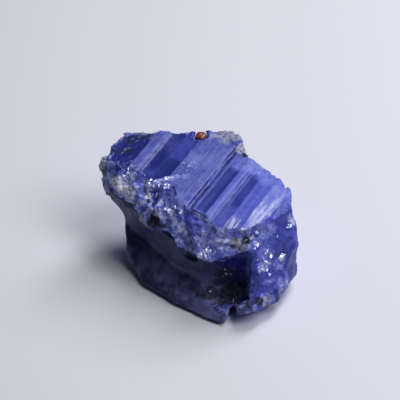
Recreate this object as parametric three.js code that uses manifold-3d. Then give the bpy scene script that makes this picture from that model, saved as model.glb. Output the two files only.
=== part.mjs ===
// A rough tanzanite: one broken crystal mass with a striated cleavage face on top, a crumbled rim that
// overhangs hollow walls, two low feet, and a small red garnet seated in the back edge.
// Millimetres, +Z up, the origin on the ground under the middle of the stone. -Y is the front.
import * as THREE from "three";
import { ConvexGeometry } from "three/addons/geometries/ConvexGeometry.js";
import { TessellateModifier } from "three/addons/modifiers/TessellateModifier.js";
import { mergeVertices } from "three/addons/utils/BufferGeometryUtils.js";
import Module from "manifold-3d";

// Driving dimensions of the stone.
const length = 36.3; // along X, from the left nub to the right bulge
const depth = 32.4; // along Y, from the front foot to the back knob
const height = 20.9; // along Z, at the back of the top face
const spare = 3; // how far the raw block goes beyond the stone on every side
const restHeight = 0; // the ground
const groundTolerance = 0.02; // what lies lower than this is the flat spot the stone rests on

// The grain of the crystal: its striations run this way across the top face, seen from above.
const grainAngle = THREE.MathUtils.degToRad(60.5);

// How the surface is roughened after the main faces are broken out.
const finestEdge = 2.3; // longest edge of the tessellated stone
const splitRounds = 12; // at most this many halvings of an edge
const chips = [
  { size: 4.6, lift: 0.6 }, // coarse broken facets
  { size: 2.1, lift: 0.3 }, // fine ones on top of them
];
const cleavageShare = 0.16; // how much of that roughness the smooth top face keeps
const cleavageEndShare = 0.48; // and how much its two ends keep
const cleavageSpan = [-13.8, 13.5]; // the smooth part of the top face, measured across the grain
const hollowShare = 0.5; // how much the smooth hollow walls keep
const hollowFacing = -0.5; // a wall that faces this far to the front is in the hollow ...
const rimUnderside = 11; // ... where it lies below the rim

// The garnet: a small rhombic dodecahedron, cleaved flat on top, set into the back edge of the top face.
const garnetWidth = 2.3; // between opposite faces
const garnetAt = [0.6, 14.7, 19.5];
const garnetTurn = [0.2, 0.3, 0.4]; // radians about X, Y and Z
const garnetStandsOut = 0.25; // how far its cleaved top lies above the face around it
const garnetGap = 0.3; // between the garnet and its socket

// Each main face: a point on it and the way it faces. Everything beyond it is broken away.
const faces = {
  top: { at: [0, 0, 18.5], facing: [0.064, -0.123, 1] },
  rimLeft: { at: [1.5, -11.8, 12], facing: [-0.577, -0.645, 0.501] },
  rimMiddle: { at: [1.5, -11.8, 12], facing: [-0.316, -0.66, 0.68] },
  rimRight: { at: [1.5, -11.8, 12], facing: [0.13, -0.88, 0.46] },
  leftEnd: { at: [-18.5, 8, 16], facing: [-0.93, 0.1, 0.34] },
  rightShoulder: { at: [10.5, -7.3, 16.9], facing: [0.585, -0.715, 0.385] },
  rightFrontWall: { at: [12, -13.6, 3], facing: [0.74, -0.67, 0.12] },
  rightFrontCorner: { at: [15.9, -9.2, 2.8], facing: [0.9, -0.43, 0.04] },
  rightCornerUnderside: { at: [15.9, -9.2, 2.8], facing: [0.56, -0.26, -0.78] },
  rightWall: { at: [18.1, -5, 9], facing: [0.96, 0.28, 0.02] },
  rightUnderside: { at: [17.9, -4, 2.4], facing: [0.5, 0.1, -0.86] },
  backRightWall: { at: [11.8, 7.7, 18.7], facing: [0.66, 0.7, -0.2] },
  backWall: { at: [-5.9, 15.4, 20.7], facing: [-0.06, 0.97, -0.2] },
  backBevel: { at: [0, 13.6, 8.5], facing: [0.16, 0.77, -0.62] },
  backLeftWall: { at: [-15.8, 12.1, 20.7], facing: [-0.72, 0.62, -0.3] },
  backLeftBevel: { at: [-11, 9, 6], facing: [-0.55, 0.5, -0.67] },
  leftWall: { at: [-10.2, -4.6, 0.8], facing: [-0.87, -0.49, 0.05] },
  leftUnderside: { at: [-10.2, -4.6, 0.8], facing: [-0.6, -0.34, -0.72] },
  leftFrontWall: { at: [-5.8, -9.3, 0.8], facing: [-0.633, -0.774, 0.02] },
  leftFrontUnderside: { at: [-5.8, -9.3, 0.8], facing: [-0.44, -0.53, -0.72] },
  frontWall: { at: [0.9, -13.9, 0.8], facing: [-0.518, -0.855, 0.03] },
  frontUnderside: { at: [0.9, -13.9, 0.8], facing: [-0.36, -0.59, -0.72] },
};

// Overhangs: what lies beyond all of the walls and below the underside above them is broken away, so two
// walls give a wall that leans in above and flares out to the base.
const undercuts = [
  {
    walls: [
      { at: [-3.7, -5.5, 5], facing: [-0.73, -0.64, -0.15] },
      { at: [-5.6, -8.9, 1.4], facing: [-0.5, -0.56, 0.66] },
    ],
    underside: { at: [-6, -4.5, 13.2], facing: [-0.3, -0.32, -0.9] },
  },
  {
    walls: [
      { at: [1.9, -9.8, 5], facing: [-0.55, -0.8, -0.12] },
      { at: [1.1, -13.4, 1.4], facing: [-0.4, -0.64, 0.66] },
    ],
    underside: { at: [1.5, -11.6, 12], facing: [-0.1, -0.42, -0.9] },
  },
  {
    walls: [{ at: [-13.2, 4, 5], facing: [-0.93, 0.05, -0.12] }],
    underside: { at: [-17.9, 6.1, 13.1], facing: [-0.68, -0.1, -0.73] },
  },
];

// Lumps that stand out of the flat faces, by their corners.
const lumps = {
  leftNub: [
    [-17.3, 10, 19.2], [-18, 9.1, 18], [-18.2, 7.2, 16.2], [-18, 6.2, 14.7], [-17, 4.9, 13.7],
    [-12.4, 2.4, 14.3], [-13.5, 6, 19.4], [-14.5, 11.2, 15.5], [-13, 9, 13.5], [-12.8, 4, 13.2],
  ],
  crumbBed: [
    [-16.2, 8, 20], [-14.7, 6.6, 19.8], [-12.9, 5.6, 19.95], [-11.2, 4.6, 19.7], [-9.6, 3.7, 19.3],
    [-15.5, 10, 20.2], [-12, 8, 20.2], [-9.5, 5.5, 19.5],
    [-16.9, 6, 17.5], [-14.7, 3.1, 16.9], [-12.6, 1.5, 16.7], [-10.6, 0.6, 16.7],
    [-15.5, 4.1, 15.2], [-12.9, 2.1, 15.2], [-10.5, 1.3, 15.3], [-15, 9, 17], [-10, 6, 17],
  ],
  hangingLump: [
    [-11.4, 1.2, 16.6], [-11, -0.6, 13], [-8.8, -3.2, 12.4], [-7.4, -3.8, 15.2],
    [-9, 2.5, 17.5], [-9, 1, 12.4], [-8.4, -2.2, 11.4],
  ],
  rimLump: [
    [-7.9, -2, 16.6], [-7.4, -0.6, 16.9], [-4.1, -2.4, 17.8], [-3.1, -4.3, 17.4], [-4.9, -5.7, 15.6],
    [-6.9, -4.4, 13.6], [-4.6, -6.2, 13], [-2.6, -6.4, 14.6], [-4, -2, 13], [-2.5, -3, 15],
  ],
  rightFrontLump: [
    [5.5, -9.9, 14.6], [9.4, -10.2, 13.9], [9.6, -10.4, 12.9], [5.4, -10.4, 12.9],
    [6, -8.2, 16.6], [9.5, -8, 16.3], [7.5, -6, 13],
  ],
  leftFoot: [
    [1, -13, 0], [4.3, -15.1, 0], [5.2, -14.3, 0], [4.6, -11, 0], [4.6, -15.9, 0.8], [5.4, -15, 0.9],
    [4.4, -15.3, 2], [5.2, -14.4, 2.3], [4.6, -11.5, 3.2], [0.5, -12.2, 1.6],
  ],
  rightFoot: [
    [7, -16.1, 2.8], [10.2, -15.9, 2.8], [11.7, -13.8, 2.8], [6.8, -10, 0.1],
    [7, -15.5, 4.5], [10.3, -15.4, 4.8], [12, -13.2, 5], [6.8, -10, 3.4],
  ],
  backKnob: [
    [4, 16.2, 20.3], [6.4, 15.8, 20.6], [8, 14, 20.1], [8.7, 11.6, 19.2], [6.8, 14.2, 20.6],
    [1.5, 14, 18], [8.5, 13, 14], [5.5, 16.2, 17.5], [9.4, 10.5, 17], [3.4, 13.8, 19.9], [7.6, 11.2, 19.2],
  ],
  shoulderKnob: [
    [16.5, 2.9, 17.4], [16.8, 0.8, 16.7], [17, -1.4, 16.1], [16, -3, 16.4],
    [15, 0, 17.8], [17, 0.5, 14], [14, -2, 15], [15, 3, 15],
  ],
};

// Shell-like hollows, as stretched balls broken out of the surface: half-sizes, turned about Z in degrees.
const hollows = {
  leftFrontWall: { at: [-7.4, -8.2, 6.6], radii: [6.4, 2.7, 4.6], turn: -42 },
  underTheRim: { at: [-1.4, -8.5, 10.1], radii: [1.8, 1.3, 0.9], turn: -35 },
  rimMiddle: { at: [-0.9, -5.9, 18], radii: [3, 1.5, 1.7], turn: -35 },
  rightPocket: { at: [13.2, -8.8, 13.6], radii: [2.4, 1.6, 2.2], turn: 35 },
  backHollow: { at: [-3, 16.6, 9], radii: [6, 3.4, 5], turn: 5 },
  backLeftHollow: { at: [-14.2, 12.4, 12.5], radii: [3.4, 2.4, 3.2], turn: 50 },
};

const ballSplits = 3; // how finely the balls' surfaces are divided

// Gaps with flat sides broken out of the front, by their corners.
const gaps = {
  cave: [
    [0, -20, 14], [9.8, -20, 16.4], [9.9, -20, 5.6], [1.2, -20, 1.2],
    [0.4, -9.7, 10.8], [9.3, -9.9, 13.1], [1, -9.5, 7.5], [5, -9, 8], [9.2, -9.3, 8],
    [1, -9.2, 5], [1.6, -9.6, 3.6], [4.5, -8.2, 3.4], [8.7, -8.2, 3.4],
  ],
  rimDeepBlue: [
    [-8.8, 2.8, 18.9], [-4.4, 0.9, 18.7], [-4.1, -1.4, 17.3], [-8.3, 0.2, 16.7],
    [-8.8, 2.8, 21], [-4.4, 0.9, 21], [-4.1, -1.6, 19], [-8.3, -0.2, 19],
  ],
  betweenTheFeet: [
    [4.3, -18, -1], [7.1, -18, -1], [6.9, -11.4, -1], [6, -11, -1],
    [4.9, -18, 6], [6.9, -18, 6], [6.6, -12.2, 1.8], [6.1, -12.2, 1.8],
  ],
  underTheRightFoot: [
    [6.7, -20, -1], [17, -20, -1], [17, -20, 3], [6.7, -20, 3],
    [6.7, -16, 2.9], [12, -13.6, 2.9], [15.8, -9.5, 2.7], [6.7, -11.6, -0.4], [12.6, -9, -0.4],
  ],
  beforeTheRightFoot: [
    [6.4, -20, -1], [14, -20, -1], [10.6, -16.2, -1], [6.9, -16.3, -1],
    [6.4, -20, 8], [14, -20, 8], [10.6, -16.2, 8], [6.9, -16.3, 8],
  ],
};

// The cleavage face on top is stepped along the grain: each band, measured across the grain from the
// origin, lies this much below the highest one.
const terraces = [
  { from: -22, to: -14, drop: 0.45 },
  { from: -11.8, to: -6.4, drop: 0.22 },
  { from: 0, to: 3.6, drop: 0.28 },
  { from: 5, to: 7.9, drop: 0.24 },
  { from: 7.9, to: 10.6, drop: 0.14 },
  { from: 14, to: 22, drop: 0.45 },
];

const topFacing = new THREE.Vector3(...faces.top.facing).normalize();
const topSkin = Math.max(...terraces.map(({ drop }) => drop)) + 0.1; // the top face lies no deeper than this
const reach = 60; // half the size of the blocks that break faces away, well outside the stone

const wasm = await Module();
wasm.setup();

// A closed geometry as a solid for joining and cutting.
function solidOf(geometry) {
  const bare = geometry.index ? geometry.toNonIndexed() : geometry.clone();
  bare.deleteAttribute("normal");
  bare.deleteAttribute("uv");
  const merged = mergeVertices(bare, 1e-4);
  return new wasm.Manifold(
    new wasm.Mesh({
      numProp: 3,
      vertProperties: merged.attributes.position.array,
      triVerts: new Uint32Array(merged.index.array),
    }),
  );
}

function geometryOf(solid) {
  const mesh = solid.getMesh();
  return new THREE.BufferGeometry()
    .setAttribute("position", new THREE.BufferAttribute(mesh.vertProperties, 3))
    .setIndex(new THREE.BufferAttribute(mesh.triVerts, 1));
}

// A block that fills everything on the outer side of a face.
function beyond({ at, facing }) {
  const outward = new THREE.Vector3(...facing).normalize();
  const block = new THREE.BoxGeometry(2 * reach, 2 * reach, reach);
  block.translate(0, 0, reach / 2);
  block.applyQuaternion(new THREE.Quaternion().setFromUnitVectors(new THREE.Vector3(0, 0, 1), outward));
  block.translate(...at);
  return solidOf(block);
}

// A convex lump with the given corners.
function lump(corners) {
  return solidOf(new ConvexGeometry(corners.map((corner) => new THREE.Vector3(...corner))));
}

// A stretched ball.
function ball({ at, radii, turn }) {
  const form = new THREE.IcosahedronGeometry(1, ballSplits);
  form.scale(...radii);
  form.rotateZ(THREE.MathUtils.degToRad(turn));
  form.translate(...at);
  return solidOf(form);
}

// A slab that lies over one band of the top face and reaches down to the band's level.
function overTerrace({ from, to, drop }) {
  const slab = new THREE.BoxGeometry(2 * reach, to - from, reach);
  slab.translate(0, -(from + to) / 2, reach / 2 - drop);
  slab.rotateZ(grainAngle);
  slab.applyQuaternion(
    new THREE.Quaternion().setFromUnitVectors(new THREE.Vector3(0, 0, 1), topFacing),
  );
  slab.translate(...faces.top.at);
  return solidOf(slab);
}

// The stone's main form, with flat faces.
function brokenBlock() {
  const rawHeight = height + 2 * spare;
  const rawBlock = new THREE.BoxGeometry(length + 2 * spare, depth + 2 * spare, rawHeight);
  rawBlock.translate(0, 0, restHeight + rawHeight / 2);
  let stone = solidOf(rawBlock);
  for (const face of Object.values(faces)) stone = stone.subtract(beyond(face));
  for (const { walls, underside } of undercuts) {
    let broken = beyond(underside);
    for (const wall of walls) broken = broken.intersect(beyond(wall));
    stone = stone.subtract(broken);
  }
  for (const corners of Object.values(lumps)) stone = stone.add(lump(corners));
  for (const hollow of Object.values(hollows)) stone = stone.subtract(ball(hollow));
  for (const corners of Object.values(gaps)) stone = stone.subtract(lump(corners));
  for (const terrace of terraces) stone = stone.subtract(overTerrace(terrace));
  return stone;
}

// A repeatable value between 0 and 1 for a cell of space.
function chance(i, j, k, salt) {
  const mixed = Math.sin(i * 127.1 + j * 311.7 + k * 74.7 + salt * 53.3) * 43758.5453;
  return mixed - Math.floor(mixed);
}

// Height of a broken surface at a point: space is split into uneven cells, each with a flat facet of its own.
function facetHeight(point, size) {
  const p = point.clone().divideScalar(size);
  const seed = new THREE.Vector3();
  const nearest = { distance: Infinity, height: 0 };
  for (let i = Math.floor(p.x) - 1; i <= Math.floor(p.x) + 1; i++) {
    for (let j = Math.floor(p.y) - 1; j <= Math.floor(p.y) + 1; j++) {
      for (let k = Math.floor(p.z) - 1; k <= Math.floor(p.z) + 1; k++) {
        seed.set(i + chance(i, j, k, 1), j + chance(i, j, k, 2), k + chance(i, j, k, 3));
        const distance = seed.distanceTo(p);
        if (distance >= nearest.distance) continue;
        const tilt = new THREE.Vector3(chance(i, j, k, 4), chance(i, j, k, 5), chance(i, j, k, 6));
        nearest.distance = distance;
        nearest.height = tilt.subScalar(0.5).dot(seed.clone().sub(p)) + chance(i, j, k, 7) - 0.5;
      }
    }
  }
  return nearest.height;
}

// How rough the stone is at a point: the top cleavage face and the hollow front walls are smoother.
function roughnessAt(point, normal) {
  const fromTop = new THREE.Vector3(...faces.top.at).sub(point);
  const acrossGrain = point.x * Math.sin(grainAngle) - point.y * Math.cos(grainAngle);
  const inBands = acrossGrain > cleavageSpan[0] && acrossGrain < cleavageSpan[1];
  if (fromTop.dot(topFacing) < topSkin) return inBands ? cleavageShare : cleavageEndShare;
  if (point.z < rimUnderside && normal.x + normal.y < hollowFacing) return hollowShare;
  return 1;
}

// Splits long edges, then moves each corner in or out along its normal.
function roughened(geometry) {
  const fine = mergeVertices(new TessellateModifier(finestEdge, splitRounds).modify(geometry), 1e-3);
  fine.computeVertexNormals();
  const positions = fine.attributes.position;
  const normals = fine.attributes.normal;
  const point = new THREE.Vector3();
  const normal = new THREE.Vector3();
  for (let v = 0; v < positions.count; v++) {
    point.fromBufferAttribute(positions, v);
    normal.fromBufferAttribute(normals, v);
    if (point.z < restHeight + groundTolerance) continue;
    let lift = 0;
    for (const chip of chips) lift += chip.lift * facetHeight(point, chip.size);
    point.addScaledVector(normal, lift * roughnessAt(point, normal));
    point.z = Math.max(point.z, restHeight + groundTolerance);
    positions.setXYZ(v, point.x, point.y, point.z);
  }
  fine.deleteAttribute("normal");
  return fine;
}

// A rhombic dodecahedron in the garnet's place, as wide between opposite faces as given.
function garnetForm(width) {
  const corners = [];
  for (const side of [-1, 1]) {
    corners.push(new THREE.Vector3(2 * side, 0, 0));
    corners.push(new THREE.Vector3(0, 2 * side, 0));
    corners.push(new THREE.Vector3(0, 0, 2 * side));
    for (const y of [-1, 1]) for (const z of [-1, 1]) corners.push(new THREE.Vector3(side, y, z));
  }
  const form = new ConvexGeometry(corners);
  const unitWidth = 2 * Math.SQRT2;
  form.scale(width / unitWidth, width / unitWidth, width / unitWidth);
  form.applyQuaternion(new THREE.Quaternion().setFromEuler(new THREE.Euler(...garnetTurn)));
  form.translate(...garnetAt);
  return solidOf(form);
}

function tanzaniteCrystal() {
  const stone = solidOf(roughened(geometryOf(brokenBlock())));
  const socket = garnetForm(garnetWidth + 2 * garnetGap);
  const mesh = new THREE.Mesh(
    geometryOf(stone.subtract(socket)),
    new THREE.MeshStandardMaterial({ color: 0x3a3f9e, roughness: 0.35, metalness: 0, flatShading: true }),
  );
  mesh.name = "tanzanite_crystal";
  return mesh;
}

function garnetGrain() {
  const cleavedTop = new THREE.Vector3(...faces.top.at).addScaledVector(topFacing, garnetStandsOut);
  const above = beyond({ at: cleavedTop.toArray(), facing: faces.top.facing });
  const mesh = new THREE.Mesh(
    geometryOf(garnetForm(garnetWidth).subtract(above)),
    new THREE.MeshStandardMaterial({ color: 0xa8341f, roughness: 0.3, metalness: 0, flatShading: true }),
  );
  mesh.name = "garnet_grain";
  return mesh;
}

const tanzanite = new THREE.Group();
tanzanite.name = "rough_tanzanite";
tanzanite.add(tanzaniteCrystal(), garnetGrain());

export default tanzanite;
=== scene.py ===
"""A rough tanzanite: one broken crystal mass with a striated cleavage face on top, a crumbled frosted rim
over dark hollow walls, two low feet, and a small red garnet seated in its back edge.
The stone's shapes are worked out in millimetres, in the part's own frame with -Y to the front, and turned
into metres when they go into a mesh."""

import math
from types import SimpleNamespace

import bmesh
import bpy
import numpy as np
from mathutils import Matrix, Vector


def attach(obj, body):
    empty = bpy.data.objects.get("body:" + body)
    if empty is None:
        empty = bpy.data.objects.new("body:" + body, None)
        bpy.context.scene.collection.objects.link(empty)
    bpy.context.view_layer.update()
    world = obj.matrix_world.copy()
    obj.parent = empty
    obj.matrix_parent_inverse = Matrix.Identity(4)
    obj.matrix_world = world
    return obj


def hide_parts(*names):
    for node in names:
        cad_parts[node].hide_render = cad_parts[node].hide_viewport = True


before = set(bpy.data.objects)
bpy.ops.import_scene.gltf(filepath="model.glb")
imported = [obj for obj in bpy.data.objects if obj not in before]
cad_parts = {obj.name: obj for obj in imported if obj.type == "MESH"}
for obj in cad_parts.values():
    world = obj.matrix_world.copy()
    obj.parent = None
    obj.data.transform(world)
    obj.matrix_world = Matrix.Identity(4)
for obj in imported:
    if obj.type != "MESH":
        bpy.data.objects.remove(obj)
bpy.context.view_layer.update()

MM = 0.001

# ---------------------------------------------------------------- the stone's own directions

GRAIN_ANGLE = math.radians(60.5)  # the striations' run across the top face, seen from above
TOP_POINT = np.array([0.0, 0.0, 18.5])  # on the cleavage face
TOP_FACING = np.array([0.064, -0.123, 1.0]) / np.linalg.norm([0.064, -0.123, 1.0])
GARNET_AT = np.array([0.6, 14.7, 19.5])


def across_grain(points):
    return points[:, 0] * math.sin(GRAIN_ANGLE) - points[:, 1] * math.cos(GRAIN_ANGLE)


def along_grain(points):
    return points[:, 0] * math.cos(GRAIN_ANGLE) + points[:, 1] * math.sin(GRAIN_ANGLE)


def under_top(points):
    return (TOP_POINT - points) @ TOP_FACING


def from_garnet(points):
    return np.linalg.norm(points - GARNET_AT, axis=1)


def ramp(value, low, high):
    """0 below low, 1 above high, and a smooth rise between; low may be the larger one."""
    share = np.clip((value - low) / (high - low), 0, 1)
    return share * share * (3 - 2 * share)


def within(value, start, end, soft):
    """1 between start and end and 0 outside, with a fade that reaches soft to either side of both."""
    return ramp(value, start - soft, start + soft) * ramp(value, end + soft, end - soft)


# ---------------------------------------------------------------- broken surfaces, as heights at points

NEIGHBOURS = [np.array([i, j, k]) for i in (-1, 0, 1) for j in (-1, 0, 1) for k in (-1, 0, 1)]
CORNERS = [np.array([i, j, k]) for i in (0, 1) for j in (0, 1) for k in (0, 1)]
UNRELATED = np.array([127.1, 311.7, 74.7])  # without a common measure, so that cells don't repeat
SALT_STEP = 53.3
SCATTER = 43758.5453  # so large that only the last digits count


def chance(cells, salt):
    """A repeatable value from 0 to 1 for each cell of space; each salt gives other values."""
    mixed = np.sin(cells @ UNRELATED + salt * SALT_STEP) * SCATTER
    return mixed - np.floor(mixed)


def three_chances(cells, salt):
    return np.stack([chance(cells, salt + step) for step in range(3)], axis=1)


def cell_terms(points, size, salt):
    """For each of the 27 cells around every point: the way from its seed to the point, and the cell."""
    scaled = points / size
    home = np.floor(scaled)
    for step in NEIGHBOURS:
        cells = home + step
        seeds = cells + three_chances(cells, salt + 1)
        yield scaled - seeds, cells


def scoops(points, size, salt, tilt=0.9, uneven=0.5):
    """Shell-like scoops that meet in sharp ridges, as broken glass does: about -0.3 to 0.5."""
    lowest = np.full(len(points), np.inf)
    for away, cells in cell_terms(points, size, salt):
        lean = three_chances(cells, salt + 4) - 0.5
        height = (away**2).sum(1) + tilt * (away * lean).sum(1) + uneven * (chance(cells, salt + 7) - 0.5)
        lowest = np.minimum(lowest, height)
    return lowest - 0.2


def facets(points, size, salt):
    """Flat facets, each with a tilt of its own and a step to the next: about -0.7 to 0.7."""
    nearest = np.full(len(points), np.inf)
    height = np.zeros(len(points))
    for away, cells in cell_terms(points, size, salt):
        distance = (away**2).sum(1)
        lean = three_chances(cells, salt + 4) - 0.5
        own = 2 * (away * lean).sum(1) + 0.6 * (chance(cells, salt + 7) - 0.5)
        closer = distance < nearest
        nearest = np.where(closer, distance, nearest)
        height = np.where(closer, own, height)
    return height


def grains(points, size, salt):
    """Rounded grains packed together: 0 at a grain's middle, down to about -0.6 between grains."""
    nearest = np.full(len(points), np.inf)
    for away, _ in cell_terms(points, size, salt):
        nearest = np.minimum(nearest, (away**2).sum(1))
    return -nearest


def drift(points, size, salt):
    """Smooth, slow change from place to place: 0 to 1."""
    scaled = points / size
    home = np.floor(scaled)
    share = scaled - home
    share = share * share * (3 - 2 * share)
    total = np.zeros(len(points))
    for corner in CORNERS:
        weight = np.prod(np.where(corner, share, 1 - share), axis=1)
        total += weight * chance(home + corner, salt)
    return total


def wavy(points, depth, size, salt):
    """Slow change about a middle level."""
    return depth * (drift(points, size, salt) - 0.5)


def patch(points, centre, radii, ragged, edge, salt):
    """1 inside a patch of the surface and 0 outside, for a centre and half-sizes in millimetres.
    Its outline wanders in and out by the share ragged, and fades over the share edge."""
    away = np.sqrt((((points - np.array(centre)) / np.array(radii)) ** 2).sum(1))
    wander = drift(points, 1.6, salt) + 0.6 * drift(points, 0.6, salt + 1) - 0.8
    return ramp(away + ragged * wander, 1 + edge, 1 - edge)


# ---------------------------------------------------------------- the crystal's regions

# Bands of the cleavage face on top, from left to right across the grain: each band's right edge in
# millimetres from the origin, how frosted it is, and how bright its blue is.
BANDS = [
    (-13.85, 0.01, 0.12),
    (-12.40, 0.17, 0.35),
    (-11.95, 0.27, 0.45),
    (-9.05, 0.01, 0.10),
    (-6.35, 0.01, 0.08),
    (-3.15, 0.16, 0.35),
    (0.00, 0.20, 0.40),
    (1.05, 0.02, 0.12),
    (1.50, 0.15, 0.45),
    (3.60, 0.01, 0.40),
    (5.05, 0.17, 0.75),
    (6.10, 0.06, 0.50),
    (7.70, 0.01, 0.50),
    (10.65, 0.09, 0.95),
    (14.00, 0.24, 0.90),
    (22.00, 0.07, 0.70),
]
PALE_LINES = (-13.8, -9.0, -6.3, -4.4, 2.6, 6.1, 8.25, 9.5)  # hairlines along the grain
DARK_LINES = (-12.9, -3.1, -2.0, 0.05, 5.1)

# Places where a band changes along its length: across the grain and along it, from and to in millimetres;
# the frost and the brightness there; and how softly the sides and the ends fade.
BAND_CHANGES = [
    ((-9.0, -6.4), (5.0, 14.0), 0.015, 0.62, 0.10, 0.3),
    ((-11.9, -9.1), (-2.0, 1.0), 0.03, 0.45, 0.15, 0.8),
    ((-12.0, -9.1), (6.5, 10.5), 0.05, 0.25, 0.20, 1.2),
    ((0.05, 1.0), (3.2, 9.4), 0.02, 0.50, 0.12, 0.8),
    ((6.15, 7.7), (-6.0, 0.8), 0.09, 0.60, 0.12, 0.8),
    ((-6.3, -3.2), (4.8, 8.2), 0.26, 0.50, 0.15, 0.7),
    ((-3.1, 0.0), (-5.0, -2.6), 0.33, 0.40, 0.12, 0.7),
    ((3.6, 5.1), (-6.0, -2.4), 0.28, 0.60, 0.15, 0.9),
    ((1.6, 3.4), (9.6, 13.0), 0.20, 0.70, 0.50, 0.6),
    ((3.2, 8.2), (9.2, 13.5), 0.34, 0.90, 0.90, 0.9),
    ((8.0, 12.6), (8.4, 13.0), 0.24, 0.95, 0.90, 1.2),
    ((10.75, 13.8), (4.0, 8.6), 0.40, 0.95, 0.25, 1.8),
    ((12.4, 13.8), (1.0, 5.6), 0.50, 0.90, 0.25, 1.0),
    ((10.75, 13.0), (-2.0, 4.6), 0.62, 0.90, 0.10, 1.4),
    ((7.8, 10.0), (-5.6, -2.0), 0.46, 0.25, 0.25, 0.4),
]

# A ridge of crumbs runs over the left part of the cleavage face, at 45 degrees to the grain.
RIDGE_START = 6.0  # along the grain, where it would cross the middle line
RIDGE_ENDS = (-9.1, -3.5)  # across the grain
RIDGE_FROST = 0.55
EDGE_FROST = 0.30  # of the cleavage face's chipped edge

# How low the crumbled rim reaches, from left to right: X and height in millimetres.
RIM_EDGE = (
    (-13.2, 15.0),
    (-11.0, 14.5),
    (-10.4, 13.2),
    (-6.7, 13.2),
    (-4.4, 12.6),
    (-3.3, 12.0),
    (1.3, 11.8),
    (3.5, 12.5),
    (5.4, 13.2),
    (9.2, 13.6),
)

# Where each main surface begins: none of it at the first value, all of it at the second. Places and heights
# are in millimetres; the directions are shares of a normal.
TOP_DEPTH = (1.1, 0.7)  # below the cleavage face
TOP_DIRECTION = (0.82, 0.93)
LEFT_FRONT_DIRECTION = (0.35, 0.8)
RIGHT_DIRECTION = (0.3, 0.7)
HOLLOW_RIGHT_END = (9.7, 8.2)
HOLLOW_FLOOR_LEFT = (-1.6, -0.6)
HOLLOW_FLOOR_FRONT = (-12.9, -12.3)
HOLLOW_FLOOR_BACK = (-3.0, -5.0)
HOLLOW_FLOOR_HEIGHT = (7.0, 6.0)
# Painted shade in the hollow: darkest up under the rim, fading out towards the bottom between these heights.
HOLLOW_SHADE_FADE_HEIGHT = (8.5, 2.5)
WINDOW_LEFT = (2.2, 4.6)
WINDOW_HEIGHT = (5.4, 7.4)
FEET_FRONT = (-11.6, -12.6)
FEET_HEIGHT = (5.0, 3.4)
# Painted light on the right wall rises between these heights.
RIGHT_PAINTED_LIGHT_HEIGHT = (8.0, 12.5)
GARNET_SOCKET = (1.6, 2.6)  # from the garnet's middle, where the crystal's own relief begins
GARNET_CLOSE = (2.4, 1.8)  # where the crystal has grown close around the garnet
GARNET_CLEAN = (2.0, 2.8)  # where frost begins

# Patches of the surface: centre, half-sizes in millimetres, and how much of the quality they have.
FROSTED_AND_GLINT_PAINT = [
    ((-17.0, 6.0, 15.4), (1.4, 1.8, 1.9), 0.80),
    ((-17.5, 8.4, 17.9), (1.0, 1.4, 1.2), 0.90),
    ((-13.1, 6.0, 19.5), (2.0, 1.4, 1.4), 0.50),
    ((-11.4, 4.0, 18.8), (2.6, 1.5, 1.5), 0.46),
    ((-10.4, 1.4, 17.2), (2.2, 1.8, 1.8), 0.50),
    ((-8.7, -1.0, 16.0), (1.4, 1.2, 1.4), 0.44),
    ((-5.8, -3.2, 16.8), (2.6, 1.6, 1.2), 0.30),
    ((-6.4, -4.4, 15.2), (2.0, 1.2, 1.2), 0.34),
    ((-2.6, -7.0, 13.4), (3.4, 2.4, 1.3), 0.44),
    ((0.6, -9.6, 13.4), (3.0, 2.4, 1.6), 0.36),
    ((1.6, -11.2, 12.9), (1.5, 1.4, 1.5), 0.52),
    ((3.4, -9.6, 14.7), (2.2, 1.6, 1.3), 0.38),
    ((5.3, -9.9, 14.3), (1.2, 0.9, 1.0), 0.85),
    ((5.9, -7.6, 17.0), (1.6, 1.0, 0.8), 0.50),
    ((8.3, -8.4, 16.6), (0.9, 0.9, 0.8), 0.55),
    ((15.4, 0.6, 17.2), (1.8, 3.4, 1.3), 0.28),
    ((11.6, -7.4, 15.2), (3.6, 2.4, 1.6), 0.20),
    ((16.8, -3.2, 14.6), (0.8, 0.9, 1.0), 0.55),
    ((12.4, -9.0, 11.6), (2.0, 1.6, 1.8), 0.20),
    ((14.6, -7.8, 8.4), (1.4, 1.6, 1.6), 0.22),
    # The frost of this patch is a painted highlight: the large glint on the right wall.
    ((12.1, -10.5, 9.6), (1.7, 1.2, 1.0), 0.50),
    ((15.4, -9.0, 4.6), (2.2, 2.2, 1.3), 0.48),
    ((12.4, -12.4, 4.2), (2.0, 1.8, 1.2), 0.38),
    ((3.4, -13.0, 2.6), (2.2, 1.0, 0.8), 0.22),
    ((3.2, -14.6, 1.4), (2.8, 1.8, 1.6), 0.24),
    ((8.6, -15.4, 3.8), (2.2, 1.2, 1.3), 0.30),
    ((-3.3, -9.6, 2.6), (3.0, 1.6, 1.0), 0.16),
    ((-7.9, -5.3, 2.6), (1.6, 1.2, 0.8), 0.14),
]
DEEP = [
    ((-6.5, 0.5, 17.5), (2.6, 1.4, 1.3), 0.7),
    ((-15.4, 5.6, 18.9), (1.2, 1.2, 1.2), 0.8),
    ((-14.2, 5.1, 19.0), (1.9, 0.9, 0.9), 0.7),
    ((-9.6, -0.6, 15.2), (0.9, 0.9, 0.9), 0.7),
    ((-3.1, -4.8, 16.0), (0.7, 0.8, 0.9), 1.0),
    ((-1.4, -5.4, 16.6), (1.4, 1.0, 1.2), 0.9),
    ((-0.3, -6.8, 15.8), (1.8, 1.3, 1.4), 0.8),
    ((2.1, -8.1, 16.2), (1.0, 0.8, 0.8), 0.8),
    ((15.6, -5.4, 13.4), (1.4, 1.6, 2.0), 0.3),
    ((10.2, -8.0, 15.6), (1.2, 1.0, 0.8), 0.5),
    ((9.2, -11.8, 9.3), (1.6, 2.2, 4.2), 1.0),
]
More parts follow.
